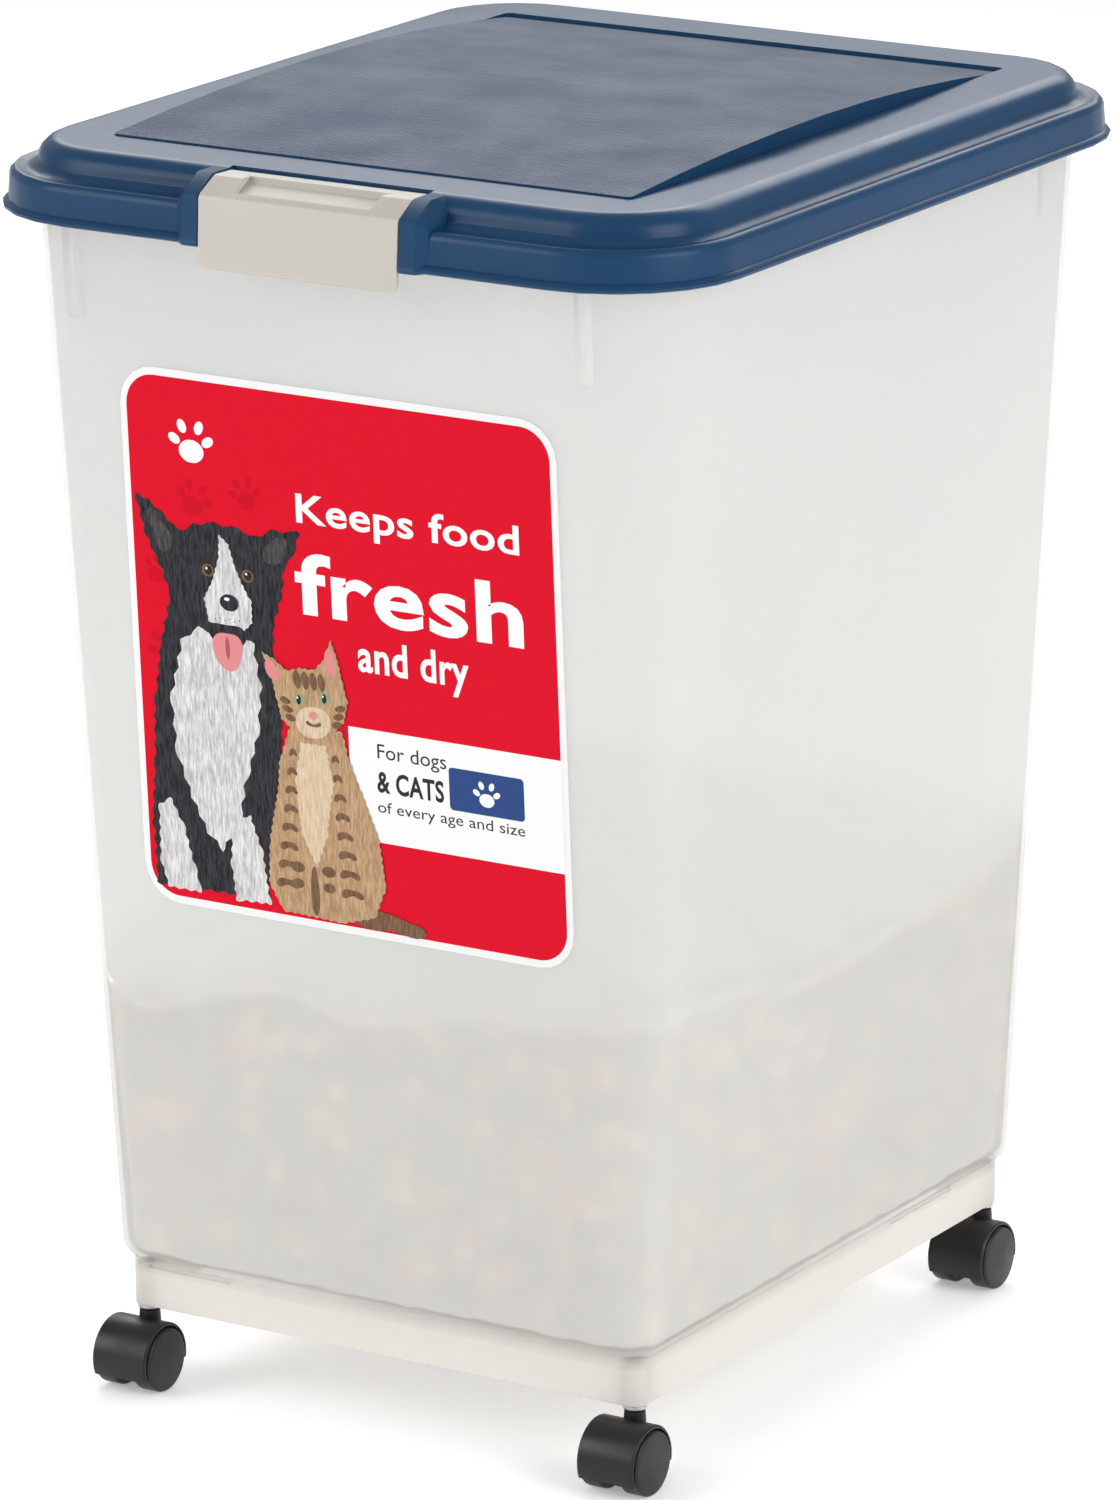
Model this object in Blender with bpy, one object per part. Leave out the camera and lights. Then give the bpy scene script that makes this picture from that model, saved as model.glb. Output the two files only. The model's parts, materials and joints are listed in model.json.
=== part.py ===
"""Pet food bin: a tapered translucent tub on four swivelling twin-wheel casters, with a rear-hinged lid that a
snap latch holds at the front. Metres, +Z up, the latch faces -Y, the wheels stand on z = 0."""

import math

import bmesh
import bpy
from mathutils import Matrix, Vector

# Tub
SKIRT_HALF = (0.1416, 0.1714)      # foot skirt, outside
SKIRT_BOTTOM = 0.0395
SKIRT_RADIUS = 0.007
STEP_Z = 0.0619                    # where the body starts, outside the skirt
BODY_LOW = (0.1489, 0.1787)        # body half sizes at the step
BODY_HIGH = (0.1750, 0.2075)       # and at BODY_HIGH_Z, just under the lid
BODY_HIGH_Z = 0.5716
RIM_Z = 0.5882
WALL = 0.0022
FLOOR = 0.0025
FOOT_FILLET = 0.010
CORNER_LOW, CORNER_HIGH = 0.020, 0.045
RIM_FLANGE = 0.0065
RIM_DROP = 0.0075
POST_RADIUS = 0.0066
RIB_X, RIB_WIDTH, RIB_PROUD, RIB_LOW = 0.1366, 0.006, 0.004, 0.5280
SLOT_X, SLOT_Y = (0.0840, 0.1310), (0.0630, 0.1220)
# Lid
LID_HALF = (0.1917, 0.2272)        # outside of the lip
LID_CORNER = 0.063
LID_WALL = 0.0022
LIP_Z = 0.5749
LEDGE_Z = 0.5932
TOP_Z = 0.6062
RAISED_INSET = (0.0147, 0.0185)    # from the lip to the raised part
EDGE_RADIUS = 0.010
PANEL_HALF = (0.1390, 0.1708)
PANEL_STEP = (0.0008, -0.0020)     # the panel's front and back edges, over the border
PANEL_RISE = 0.0076
PANEL_GROOVE = 0.0006
# Latch and the notch in the lid that it sits in
NOTCH_HALF = 0.0537
LATCH_HALF = 0.0528
NOTCH_BACK = -0.1980
JAMB_WIDTH, JAMB_FLARE = 0.0082, 0.0048
PIVOT = (-0.2060, 0.6010)
PIP_RADIUS, PIP_LENGTH = 0.0016, 0.0026
CLEAR = 0.0003
# Rear hinges
HINGE_X = 0.095
HINGE_AXIS = (0.2249, 0.5709)
PIN_RADIUS = 0.0015
LUG_HALF, LUG_RADIUS, EAR_THICK = 0.008, 0.0043, 0.003
# Casters
CASTER_AT = (0.1351, 0.1649)
WHEEL_RADIUS = 0.0155
WHEEL_SIDES = 32
AXLE_TRAIL = 0.0095
STEM_RADIUS = 0.0030
SOCKET_RADIUS = 0.0050
HOOD_OUT, HOOD_IN, HOOD_HALF = 0.0181, 0.0165, 0.0150
# Label
LABEL_SIZE, LABEL_AT, LABEL_RADIUS = (0.2340, 0.2590), (0.0025, 0.3800), 0.019


def clear_scene():
    for obj in list(bpy.data.objects):
        bpy.data.objects.remove(obj, do_unlink=True)


def material(name, color, rough, metallic=0.0, transmission=0.0, alpha=1.0):
    mat = bpy.data.materials.new(name)
    mat.use_nodes = True
    shader = mat.node_tree.nodes["Principled BSDF"]
    shader.inputs["Base Color"].default_value = (*color, 1.0)
    shader.inputs["Roughness"].default_value = rough
    shader.inputs["Metallic"].default_value = metallic
    shader.inputs["Transmission Weight"].default_value = transmission
    shader.inputs["Alpha"].default_value = alpha
    mat.diffuse_color = (*color, alpha)
    return mat


def finish(name, bm, mat=None):
    """The bmesh as an object, its faces turned outwards and its round sides smooth."""
    bmesh.ops.remove_doubles(bm, verts=bm.verts, dist=1e-7)
    bmesh.ops.recalc_face_normals(bm, faces=bm.faces)
    mesh = bpy.data.meshes.new(name)
    bm.to_mesh(mesh)
    bm.free()
    obj = bpy.data.objects.new(name, mesh)
    bpy.context.scene.collection.objects.link(obj)
    shade(obj)
    if mat:
        mesh.materials.append(mat)
    return obj


def shade(obj):
    for face in obj.data.polygons:
        face.use_smooth = True
    obj.data.set_sharp_from_angle(angle=math.radians(32))


def combine(obj, others, operation="UNION"):
    """One body from obj and each of the others, which are used up."""
    for other in others:
        modifier = obj.modifiers.new("join", "BOOLEAN")
        modifier.solver = "EXACT"
        modifier.operation = operation
        modifier.object = other
        bpy.context.view_layer.update()
        graph = bpy.context.evaluated_depsgraph_get()
        mesh = bpy.data.meshes.new_from_object(obj.evaluated_get(graph))
        obj.modifiers.clear()
        old, obj.data = obj.data, mesh
        bpy.data.meshes.remove(old)
        bpy.data.objects.remove(other, do_unlink=True)
    shade(obj)
    return obj


def loft(rows, ends="capped"):
    """A skin over rows of points: capped at both ends, or closed round into a ring."""
    bm = bmesh.new()
    made = [[bm.verts.new(p) for p in row] for row in rows]
    pairs = list(zip(made, made[1:]))
    if ends == "ring":
        pairs.append((made[-1], made[0]))
    for low, high in pairs:
        count = len(low)
        for i in range(count):
            j = (i + 1) % count
            bm.faces.new((low[i], low[j], high[j], high[i]))
    if ends == "capped":
        bm.faces.new(list(reversed(made[0])))
        bm.faces.new(made[-1])
    return bm


def prism(name, profile, low, high, mat=None):
    """A (y, z) outline drawn out along X from low to high."""
    return finish(name, loft([[(x, y, z) for y, z in profile] for x in (low, high)]), mat)


def box(name, low, high, mat=None):
    profile = [(low[1], low[2]), (high[1], low[2]), (high[1], high[2]), (low[1], high[2])]
    return prism(name, profile, low[0], high[0], mat)


def turned(name, profile, at, axis="z", sides=24, mat=None, ends="capped"):
    """(radius, height) pairs turned about an axis through at. The first side faces the ground on X axes."""
    turn = math.pi / sides
    rows = []
    for radius, height in profile:
        row = []
        for i in range(sides):
            a = 2 * math.pi * i / sides + turn
            c, s = radius * math.cos(a), radius * math.sin(a)
            p = (c, s, height) if axis == "z" else (height, s, c)
            row.append(Vector(p) + Vector(at))
        rows.append(row)
    return finish(name, loft(rows, ends), mat)


def rounded(half, radius, corner=5, along_y=1, along_x=1):
    """A rounded rectangle's (x, y) points, anticlockwise, with the same count whatever the size."""
    hx, hy = half
    points = []
    spots = ((1, 1, 0), (-1, 1, 90), (-1, -1, 180), (1, -1, 270))
    for k, (sx, sy, start) in enumerate(spots):
        cx, cy = sx * (hx - radius), sy * (hy - radius)
        for i in range(corner + 1):
            a = math.radians(start + 90 * i / corner)
            points.append((cx + radius * math.cos(a), cy + radius * math.sin(a)))
        nx, ny, after = spots[(k + 1) % 4]
        a = math.radians(after)
        first, pieces = points[-1], (along_x if k % 2 == 0 else along_y)
        last = (nx * (hx - radius) + radius * math.cos(a), ny * (hy - radius) + radius * math.sin(a))
        for i in range(1, pieces):
            t = i / pieces
            points.append((first[0] + t * (last[0] - first[0]), first[1] + t * (last[1] - first[1])))
    return points


def body_half(z, inset=0.0):
    """The tub's half sizes and corner radius at a height, taken in by inset."""
    t = (z - STEP_Z) / (BODY_HIGH_Z - STEP_Z)
    half = [low + t * (high - low) - inset for low, high in zip(BODY_LOW, BODY_HIGH)]
    return half, CORNER_LOW + t * (CORNER_HIGH - CORNER_LOW) - inset


def front_y(z):
    return -body_half(z)[0][1]


def arc(centre, radius, start, end, steps):
    """Points (y, z) on an arc, in degrees from +Y towards +Z."""
    turns = [math.radians(start + (end - start) * i / steps) for i in range(steps + 1)]
    return [(centre[0] + radius * math.cos(a), centre[1] + radius * math.sin(a)) for a in turns]


def tub_shell(mat):
    """Skirt, floor, tapered walls and rim, as one moulded shell of even wall."""
    rows = []

    def ring(half, radius, z):
        rows.append([(x, y, z) for x, y in rounded(half, radius)])

    def skirt(inset, z):
        ring([h - inset for h in SKIRT_HALF], max(SKIRT_RADIUS - inset, 0.002), z)

    def body(z, inset):
        half, radius = body_half(z, inset)
        ring(half, radius, z)

    floor_low = STEP_Z
    skirt(WALL + 0.0008, floor_low)
    skirt(WALL, floor_low - 0.0015)
    skirt(WALL, SKIRT_BOTTOM)
    skirt(0.0004, SKIRT_BOTTOM)
    skirt(0.0, SKIRT_BOTTOM + 0.0004)
    skirt(0.0, STEP_Z)
    for i in range(1, 6):
        a = math.radians(18 * i)
        inset = FOOT_FILLET * (1 - math.sin(a))
        z = STEP_Z + FOOT_FILLET * (1 - math.cos(a))
        body(z, inset)
    body(RIM_Z - RIM_DROP - 0.0012, 0.0)
    body(RIM_Z - 0.0022, -0.0002)
    body(RIM_Z - 0.0022, 0.0016 - RIM_FLANGE)
    body(RIM_Z - RIM_DROP, 0.0016 - RIM_FLANGE)
    body(RIM_Z - RIM_DROP, -RIM_FLANGE)
    body(RIM_Z - 0.0008, -RIM_FLANGE)
    body(RIM_Z, 0.0008 - RIM_FLANGE)
    body(RIM_Z, WALL - 0.0004)
    body(RIM_Z - 0.0006, WALL)
    inner = FOOT_FILLET - 0.0015
    for i in range(5, 0, -1):
        a = math.radians(18 * i)
        body(STEP_Z + FLOOR + inner * (1 - math.cos(a)), WALL + inner * (1 - math.sin(a)))
    return finish("tub", loft(rows), mat)


def tub(mat):
    """The shell with its caster posts, corner ribs, latch catch, hinge ears and mould slots."""
    obj = tub_shell(mat)
    posts, bores = [], []
    for sx in (-1, 1):
        for sy in (-1, 1):
            at = (sx * CASTER_AT[0], sy * CASTER_AT[1], 0)
            posts.append(turned("post", [(POST_RADIUS, SKIRT_BOTTOM + 0.0002), (POST_RADIUS, STEP_Z + 0.001)], at))
            bore = [(SOCKET_RADIUS + CLEAR, SKIRT_BOTTOM - 0.01), (SOCKET_RADIUS + CLEAR, STEP_Z - 0.0015)]
            bores.append(turned("bore", bore, at))
    ribs = []
    for sx in (-1, 1):
        for sy in (-1, 1):
            top = RIM_Z - 0.0015
            y0, y1 = -front_y(RIB_LOW), -front_y(top)
            outline = [(y0 - 0.0015, RIB_LOW), (y0 + 0.0022, RIB_LOW + 0.0004), (y0 + RIB_PROUD, RIB_LOW + 0.0030),
                       (y1 + RIB_PROUD, top), (y1 - 0.0015, top)]
            outline = [(sy * y, z) for y, z in outline]
            ribs.append(prism("rib", outline, sx * RIB_X - RIB_WIDTH / 2, sx * RIB_X + RIB_WIDTH / 2))
    catch = prism("catch", [(-0.2135, 0.5870), (-0.2186, 0.5870), (-0.2190, 0.5862), (-0.2190, 0.5751),
                            (-0.2184, 0.5745), (-0.2080, 0.5745), (-0.2066, 0.5760), (-0.2066, 0.5870)],
                  -0.044, 0.044)
    ears = []
    cy, cz = HINGE_AXIS
    for sx in (-1, 1):
        for side in (-1, 1):
            near = sx * HINGE_X + side * (LUG_HALF + 0.0005)
            far = near + side * EAR_THICK
            outline = [(0.2062, cz + 0.0027)] + arc(HINGE_AXIS, 0.0035, 90, -60, 10) + [(0.2050, 0.5530)]
            ears.append(prism("ear", outline, min(near, far), max(near, far)))
    slots = []
    for s in (-1, 1):
        x, y = SKIRT_HALF
        low_z, high_z = STEP_Z - 0.0030, STEP_Z - 0.0008
        xs, ys = sorted(s * v for v in SLOT_X), sorted(s * v for v in SLOT_Y)
        deep, out = sorted((s * (y - 0.0015), s * (y + 0.004)))
        slots.append(box("slot", (xs[0], deep, low_z), (xs[1], out, high_z)))
        deep, out = sorted((s * (x - 0.0015), s * (x + 0.004)))
        slots.append(box("slot", (deep, ys[0], low_z), (out, ys[1], high_z)))
    pins = [turned("bore", [(PIN_RADIUS + CLEAR, sx * HINGE_X - 0.014), (PIN_RADIUS + CLEAR, sx * HINGE_X + 0.014)],
                   (0, cy, cz), "x", 16) for sx in (-1, 1)]
    combine(obj, posts + ribs + [catch] + ears)
    return combine(obj, bores + slots + pins, "DIFFERENCE")


def panel_z(y):
    """The leather-grained panel is arched from front to back."""
    t = min(1.0, abs(y) / PANEL_HALF[1])
    step = PANEL_STEP[0 if y < 0 else 1]
    return TOP_Z + step + (PANEL_RISE - step) * (1 - t * t)


def lid_shell(mat):
    """Arched panel, raised part, grooved ledge, skirt and lip bead, as one shell of even wall."""
    rows = []
    shrink = (0, 0.16, 0.32, 0.48, 0.64, 0.8, 0.94)

    def ring(offset, z, half=None, radius=None):
        half = half or [h - offset for h in LID_HALF]
        outline = rounded(half, radius or LID_CORNER - offset, corner=6, along_y=8)
        rows.append([(x, y, z(y) if callable(z) else z) for x, y in outline])

    def raised(inset, z):
        ring(0, z, [h - r - inset for h, r in zip(LID_HALF, RAISED_INSET)], LID_CORNER - RAISED_INSET[0] - inset)

    def ledge(t, z):
        ring(0, z, [h - 0.0058 - t * (r - 0.0058) for h, r in zip(LID_HALF, RAISED_INSET)],
             LID_CORNER - 0.0058 - t * (RAISED_INSET[0] - 0.0058))

    def groove(y):
        return min(TOP_Z - 0.0012, panel_z(y) - 0.0010)

    # Outside, from the middle of the panel down to the lip.
    half = [h - PANEL_GROOVE for h in PANEL_HALF]
    for t in reversed(shrink):
        ring(0, panel_z, [h * (1 - t) for h in half], 0.0026 * (1 - t))
    ring(0, groove, half, 0.0026)
    ring(0, groove, [h - 0.00005 for h in PANEL_HALF], 0.003)
    ring(0, TOP_Z, PANEL_HALF, 0.003)
    for i in range(5, -1, -1):
        a = math.radians(18 * i)
        raised(EDGE_RADIUS * (1 - math.cos(a)), TOP_Z - EDGE_RADIUS * (1 - math.sin(a)))
    for t, z in ((0.97, -0.0006), (0.86, -0.0018), (0.62, -0.0034), (0.38, -0.0036), (0.14, -0.0027), (0.0, -0.0029)):
        ledge(t, TOP_Z - EDGE_RADIUS + z)
    for offset, z in ((0.0042, LEDGE_Z - 0.0012), (0.0034, LEDGE_Z - 0.0034), (0.0026, LIP_Z + 0.0040),
                      (0.0012, LIP_Z + 0.0034), (0.0, LIP_Z + 0.0018), (0.0002, LIP_Z + 0.0006), (0.0012, LIP_Z),
                      (0.0034, LIP_Z), (0.0050, LIP_Z + 0.0030), (0.0056, LEDGE_Z - 0.0040),
                      (0.0068, LEDGE_Z - 0.0028)):
        ring(offset, z)
    # Underside of the raised part, back to the middle of the panel.
    inner = EDGE_RADIUS - LID_WALL
    raised(LID_WALL - 0.0006, LEDGE_Z - 0.0028)
    raised(LID_WALL - 0.0002, LEDGE_Z - 0.0014)
    for i in range(6):
        a = math.radians(18 * i)
        raised(LID_WALL + inner * (1 - math.cos(a)), TOP_Z - LID_WALL - inner * (1 - math.sin(a)))
    raised(0.0225, TOP_Z - LID_WALL - 0.0004)
    half = [h - PANEL_GROOVE - LID_WALL for h in PANEL_HALF]
    ring(0, lambda y: groove(y) - LID_WALL, [h + 0.0001 for h in half], 0.0027)
    for t in shrink:
        ring(0, lambda y: panel_z(y) - LID_WALL, [h * (1 - t) for h in half], 0.0026 * (1 - t))
    return finish("lid", loft(rows), mat)


def jamb(side):
    """The rib at one side of the notch: a block that stands forward of the lid's skirt and flares back into it."""
    inner = side * NOTCH_HALF
    outline = [(-0.1925, 0.6057), (-0.2146, 0.6057), (-0.2270, 0.5980), (-0.2284, 0.5785), (-0.2290, 0.5762),
               (-0.2284, 0.5745), (-0.2226, 0.5745), (-0.2226, 0.5914), (-0.1925, 0.5914)]
    flared = [(-0.1925, 0.6020), (-0.2040, 0.6008), (-0.2240, 0.5935), (-0.2245, 0.5785), (-0.2258, 0.5762),
              (-0.2252, 0.5750), (-0.2226, 0.5750), (-0.2226, 0.5914), (-0.1925, 0.5914)]
    rows = [[(inner + side * out, y, z) for y, z in shape]
            for out, shape in ((0.0, outline), (JAMB_WIDTH, outline), (JAMB_WIDTH + JAMB_FLARE, flared))]
    return finish("jamb", loft(rows))


def lid(mat):
    """The shell, notched at the front for the latch, with jambs that hold it and hinge lugs at the back."""
    obj = lid_shell(mat)
    combine(obj, [box("notch", (-NOTCH_HALF, -0.25, 0.56), (NOTCH_HALF, NOTCH_BACK, 0.62))], "DIFFERENCE")
    tray = [(NOTCH_BACK - 0.0002, 0.6057), (NOTCH_BACK + 0.0030, 0.6057), (NOTCH_BACK + 0.0024, 0.5906),
            (-0.2218, 0.5906), (-0.2218, 0.5800), (-0.2238, 0.5800), (-0.2238, 0.5918), (-0.2230, 0.5926),
            (NOTCH_BACK - 0.0002, 0.5926)]
    parts = [jamb(-1), jamb(1), prism("tray", tray, -NOTCH_HALF - 0.0012, NOTCH_HALF + 0.0012)]
    cy, cz = HINGE_AXIS
    for sx in (-1, 1):
        outline = arc(HINGE_AXIS, LUG_RADIUS, 150, 390, 16)[:-1]
        outline += [(cy + 0.0030, cz + 0.0030), (0.2246, 0.5870), (0.2226, 0.5870), (0.2218, 0.5752)]
        parts.append(prism("lug", outline, sx * HINGE_X - LUG_HALF, sx * HINGE_X + LUG_HALF))
    combine(obj, parts)
    bores = []
    for side in (-1, 1):
        mid = side * HINGE_X
        bores.append(turned("bore", [(PIN_RADIUS + CLEAR, mid - 0.010), (PIN_RADIUS + CLEAR, mid + 0.010)],
                            (0, cy, cz), "x", 16))
    for side in (-1, 1):
        face = side * NOTCH_HALF
        span = sorted((face - side * 0.004, face + side * (PIP_LENGTH + 0.0006)))
        bores.append(turned("bore", [(PIP_RADIUS + CLEAR, span[0]), (PIP_RADIUS + CLEAR, span[1])],
                            (0, *PIVOT), "x", 14))
    return combine(obj, bores, "DIFFERENCE")


def lid_gasket(mat):
    """A flat foam ring between the ledge's underside and the tub's rim."""
    rows = []
    mid, radius = body_half(RIM_Z)
    for wide, z in ((0.0046, RIM_Z + CLEAR), (0.0046, LEDGE_Z - 0.0028 - CLEAR),
                    (0.0002, LEDGE_Z - 0.0028 - CLEAR), (0.0002, RIM_Z + CLEAR)):
        rows.append([(x, y, z) for x, y in rounded([m + wide for m in mid], radius + wide, corner=6)])
    return finish("lid_gasket", loft(rows, "ring"), mat)


def latch(mat):
    """A snap latch: a bent plate with a finger pocket on its slope, cheeks with pivot pips, and a hook."""
    low, high = -LATCH_HALF, LATCH_HALF
    outside = [(-0.1998, 0.6034), (-0.2001, 0.6044), (-0.2010, 0.6049), (-0.2140, 0.6052), (-0.2153, 0.6048),
               (-0.2260, 0.5990), (-0.2271, 0.5980), (-0.2277, 0.5966), (-0.2292, 0.5672), (-0.2290, 0.5657),
               (-0.2282, 0.5651)]
    inside = [(-0.2270, 0.5655), (-0.2256, 0.5950), (-0.2248, 0.5967), (-0.2149, 0.6022), (-0.2135, 0.6027),
              (-0.2014, 0.6025), (-0.2004, 0.6023)]
    plate = prism("latch", outside + inside, low, high, mat)
    cheek = [(-0.2003, 0.6032), (-0.2142, 0.6036), (-0.2254, 0.5976), (-0.2262, 0.5926), (-0.2234, 0.5938),
             (-0.2120, 0.5976), (-0.2036, 0.5980), (-0.2010, 0.5996)]
    parts = [prism("cheek", cheek, low + 0.0001, low + 0.0026), prism("cheek", cheek, high - 0.0026, high - 0.0001)]
    hook = [(-0.2284, 0.5732), (-0.2206, 0.5728), (-0.2200, 0.5721), (-0.2203, 0.5709), (-0.2225, 0.5701),
            (-0.2285, 0.5695)]
    parts.append(prism("hook", hook, -0.040, 0.040))
    backing = [(-0.2070, 0.6034), (-0.2138, 0.6036), (-0.2262, 0.5972), (-0.2260, 0.5940), (-0.2240, 0.5935),
               (-0.2130, 0.5988), (-0.2070, 0.5992)]
    parts.append(prism("backing", backing, -0.0425, 0.0425))
    for side in (-1, 1):
        span = sorted((side * (LATCH_HALF - 0.001), side * (NOTCH_HALF + PIP_LENGTH - CLEAR)))
        parts.append(turned("pip", [(PIP_RADIUS, span[0]), (PIP_RADIUS, span[1])], (0, *PIVOT), "x", 16))
    combine(plate, parts)
    pocket = [(-0.2082, 0.6090), (-0.2090, 0.6034), (-0.2100, 0.6023), (-0.2222, 0.5990), (-0.2238, 0.6002),
              (-0.2242, 0.6060), (-0.2180, 0.6100)]
    bm = loft([[(x, y, z) for y, z in pocket] for x in (-0.0385, 0.0385)])
    for vert in bm.verts:
        if vert.co.z < 0.6030:
            vert.co.x += 0.0028 if vert.co.x < 0 else -0.0028
    combine(plate, [finish("pocket", bm)], "DIFFERENCE")
    corners = []
    for side in (-1, 1):
        edge = side * (LATCH_HALF + 0.001)
        rows = []
        for y in (-0.2400, -0.2255):
            rows.append([(edge, y, 0.5600), (edge - side * 0.0055, y, 0.5600), (edge - side * 0.0050, y, 0.5653),
                         (edge - side * 0.0026, y, 0.5660), (edge - side * 0.0014, y, 0.5676), (edge, y, 0.5720)])
        corners.append(finish("corner", loft(rows)))
    return combine(plate, corners, "DIFFERENCE")


def label(mat):
    """A printed sheet on the front wall, which leans with it."""
    outline = rounded([s / 2 for s in LABEL_SIZE], LABEL_RADIUS)
    rows = []
    for lift in (0.00025, 0.00055):
        rows.append([(LABEL_AT[0] + x, front_y(LABEL_AT[1] + h) - lift, LABEL_AT[1] + h) for x, h in outline])
    return finish("label", loft(rows), mat)


def hinge_pin(name, side, mat):
    """A headed steel pin through two ears of the tub and a lug of the lid."""
    mid, reach = side * HINGE_X, LUG_HALF + EAR_THICK + 0.0008
    out = [(0.0026, reach + 0.0012), (0.0026, reach + 0.0002), (PIN_RADIUS, reach), (PIN_RADIUS, -reach),
           (PIN_RADIUS - 0.0005, -reach - 0.0005)]
    return turned(name, [(r, mid + side * h) for r, h in out], (0, *HINGE_AXIS), "x", 16, mat)


def socket(name, at, mat):
    """A steel sleeve pressed into the tub's post, with a flange under the skirt."""
    flange, top = SKIRT_BOTTOM - 0.0021, STEP_Z - 0.0030
    profile = [(0.0058, flange), (0.0058, flange + 0.0018), (SOCKET_RADIUS, flange + 0.0018),
               (SOCKET_RADIUS, top), (STEM_RADIUS + CLEAR, top), (STEM_RADIUS + CLEAR, flange)]
    return turned(name, profile, (*at, 0), "z", 24, mat, "ring")


def stem(name, at, mat):
    """The steel stem that the caster swivels on, grooved near its top for the grip ring."""
    groove, top = 0.0520, STEP_Z - 0.0036
    profile = [(STEM_RADIUS - 0.0004, 0.0258), (STEM_RADIUS, 0.0262), (STEM_RADIUS, groove - 0.0009),
               (0.0020, groove - 0.0009), (0.0020, groove + 0.0009), (STEM_RADIUS, groove + 0.0009),
               (STEM_RADIUS, top - 0.0008), (STEM_RADIUS - 0.0010, top)]
    return turned(name, profile, (*at, 0), "z", 16, mat)


def grip_ring(name, at, mat):
    """The split spring ring in the stem's groove, shown closed."""
    profile = [(0.0023, 0.0515), (0.00305, 0.0515), (0.00305, 0.0525), (0.0023, 0.0525)]
    return turned(name, profile, (*at, 0), "z", 16, mat, "ring")


def hood(name, at, mat):
    """The caster's fork: a centre web that carries the axle, a hood over both wheels, and a neck for the stem."""
    x0, y0 = at
    axle = (x0, y0 - AXLE_TRAIL, WHEEL_RADIUS)
    obj = turned(name, [(HOOD_OUT - 0.0006, -HOOD_HALF), (HOOD_OUT, -HOOD_HALF + 0.0008),
                        (HOOD_OUT, HOOD_HALF - 0.0008), (HOOD_OUT - 0.0006, HOOD_HALF)], axle, "x", 36, mat)
    neck = turned("neck", [(0.0056, 0.0240), (0.0052, 0.0330), (0.0050, 0.0360), (0.0044, 0.0366)], (x0, y0, 0), "z", 20)
    combine(obj, [neck])
    cuts = [turned("well", [(HOOD_IN, side * 0.0045), (HOOD_IN, side * 0.0200)][::side], axle, "x", 36)
            for side in (-1, 1)]
    lower = [(-0.030, -0.040), (0.030, -0.040), (0.030, -0.0037), (0.0172, -0.0037), (0.0066, -0.0022),
             (0.0047, -0.0050), (0.0, -0.0068), (-0.0047, -0.0050), (-0.0066, -0.0030), (-0.0160, -0.0072),
             (-0.030, -0.0072)]
    cuts.append(prism("lower", [(axle[1] + y, axle[2] + z) for y, z in lower], x0 - 0.03, x0 + 0.03))
    cuts.append(turned("bore", [(PIN_RADIUS + CLEAR, -0.010), (PIN_RADIUS + CLEAR, 0.010)], axle, "x", 16))
    cuts.append(turned("bore", [(STEM_RADIUS + CLEAR, 0.0254), (STEM_RADIUS + CLEAR, 0.0400)], (x0, y0, 0), "z", 20))
    return combine(obj, cuts, "DIFFERENCE")


def axle_pin(name, at, mat):
    reach = 0.0118
    profile = [(0.0011, -reach), (PIN_RADIUS, -reach + 0.0004), (PIN_RADIUS, reach - 0.0004), (0.0011, reach)]
    return turned(name, profile, (at[0], at[1] - AXLE_TRAIL, WHEEL_RADIUS), "x", 16, mat)


def wheel(name, at, side, mat):
    """A closed-faced wheel, bored blind for the axle. Its sides are flat, so it stands on one of them."""
    k = 1 / math.cos(math.pi / WHEEL_SIDES)
    tread = WHEEL_RADIUS * k
    profile = [(PIN_RADIUS + CLEAR, 0.0122), (PIN_RADIUS + CLEAR, 0.0049), (0.0040, 0.0049), (0.0044, 0.0062),
               (0.0128, 0.0062), (0.0134, 0.0052), (tread - 0.0008, 0.0052), (tread, 0.0062), (tread, 0.0150),
               (tread - 0.0006, 0.0158), (tread - 0.0018, 0.0162), (0.0040, 0.0169)]
    rows = [(r, side * h) for r, h in profile]
    return turned(name, rows, (at[0], at[1] - AXLE_TRAIL, WHEEL_RADIUS), "x", WHEEL_SIDES, mat)


def caster(where, sx, sy, steel, black):
    """One caster: socket, stem, grip ring, hood, axle and two wheels. All four trail the same way."""
    at = (sx * CASTER_AT[0], sy * CASTER_AT[1])
    names = ("socket", "stem", "grip_ring", "hood", "axle", "wheel_l", "wheel_r")
    full = {n: f"{n}_{where}" for n in names}
    socket(full["socket"], at, steel)
    stem(full["stem"], at, steel)
    grip_ring(full["grip_ring"], at, steel)
    hood(full["hood"], at, black)
    axle_pin(full["axle"], at, steel)
    wheel(full["wheel_l"], at, -1, black)
    wheel(full["wheel_r"], at, 1, black)


def set_origin(name, point):
    """Puts a moving piece's origin on its joint."""
    obj = bpy.data.objects[name]
    obj.data.transform(Matrix.Translation(-Vector(point)))
    obj.location = point


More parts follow.
